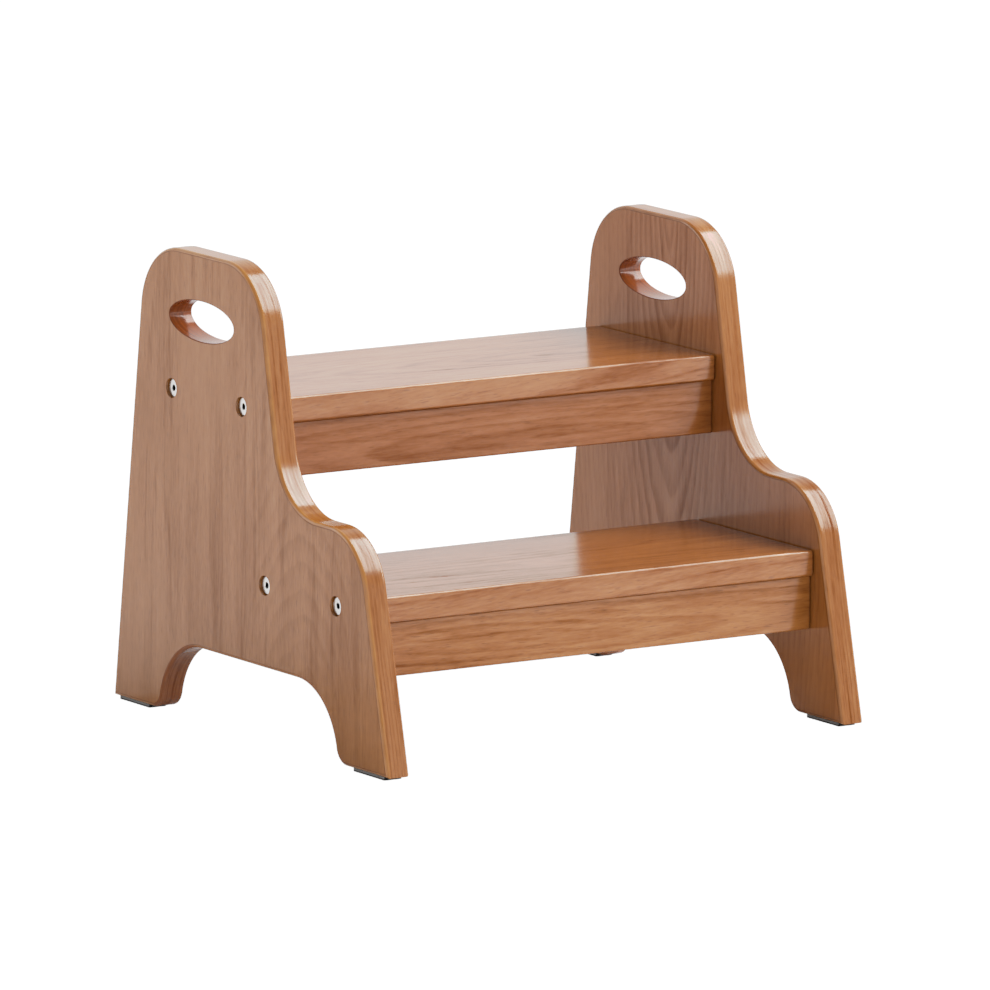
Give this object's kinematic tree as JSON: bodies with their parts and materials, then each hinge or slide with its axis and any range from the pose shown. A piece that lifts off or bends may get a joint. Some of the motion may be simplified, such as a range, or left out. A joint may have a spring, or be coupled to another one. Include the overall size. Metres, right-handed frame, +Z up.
{
  "type": "step stool",
  "caption": "Low wooden step stool: shaped side panels with hand slots and leg arches carry a lower and an upper tread, each stiffened by an apron under its front edge.",
  "frame": {"origin": "on the floor, under the middle of the stool", "axes": "+Z up, -Y the front with the lower step, +X the stool's right side seen from the front"},
  "size_m": [0.39, 0.36, 0.33],
  "materials": {
    "panel_wood": "satin lacquer over reddish-brown stain",
    "tread_wood": "satin lacquer over reddish-brown stain",
    "apron_wood": "satin lacquer over reddish-brown stain",
    "dowel_wood": "unfinished beech",
    "bolt_steel": "bright plated steel",
    "nut_steel": "dull plated steel",
    "pad_rubber": "matt black"
  },
  "bodies": {
    "root": {"side_panel_left": "panel_wood", "side_panel_right": "panel_wood", "upper_tread": "tread_wood", "lower_tread": "tread_wood", "upper_apron": "apron_wood", "lower_apron": "apron_wood", "tread_bolt_left_upper_front": "bolt_steel", "tread_bolt_left_upper_back": "bolt_steel", "tread_bolt_left_lower_front": "bolt_steel", "tread_bolt_left_lower_back": "bolt_steel", "tread_bolt_right_upper_front": "bolt_steel", "tread_bolt_right_upper_back": "bolt_steel", "tread_bolt_right_lower_front": "bolt_steel", "tread_bolt_right_lower_back": "bolt_steel", "barrel_nut_left_upper_front": "nut_steel", "barrel_nut_left_upper_back": "nut_steel", "barrel_nut_left_lower_front": "nut_steel", "barrel_nut_left_lower_back": "nut_steel", "barrel_nut_right_upper_front": "nut_steel", "barrel_nut_right_upper_back": "nut_steel", "barrel_nut_right_lower_front": "nut_steel", "barrel_nut_right_lower_back": "nut_steel", "tread_dowel_left_upper": "dowel_wood", "tread_dowel_left_lower": "dowel_wood", "tread_dowel_right_upper": "dowel_wood", "tread_dowel_right_lower": "dowel_wood", "apron_end_dowel_left_upper": "dowel_wood", "apron_end_dowel_left_lower": "dowel_wood", "apron_end_dowel_right_upper": "dowel_wood", "apron_end_dowel_right_lower": "dowel_wood", "apron_top_dowel_upper_left": "dowel_wood", "apron_top_dowel_upper_middle": "dowel_wood", "apron_top_dowel_upper_right": "dowel_wood", "apron_top_dowel_lower_left": "dowel_wood", "apron_top_dowel_lower_middle": "dowel_wood", "apron_top_dowel_lower_right": "dowel_wood", "foot_pad_left_front": "pad_rubber", "foot_pad_left_back": "pad_rubber", "foot_pad_right_front": "pad_rubber", "foot_pad_right_back": "pad_rubber"}
  },
  "joints": []
}
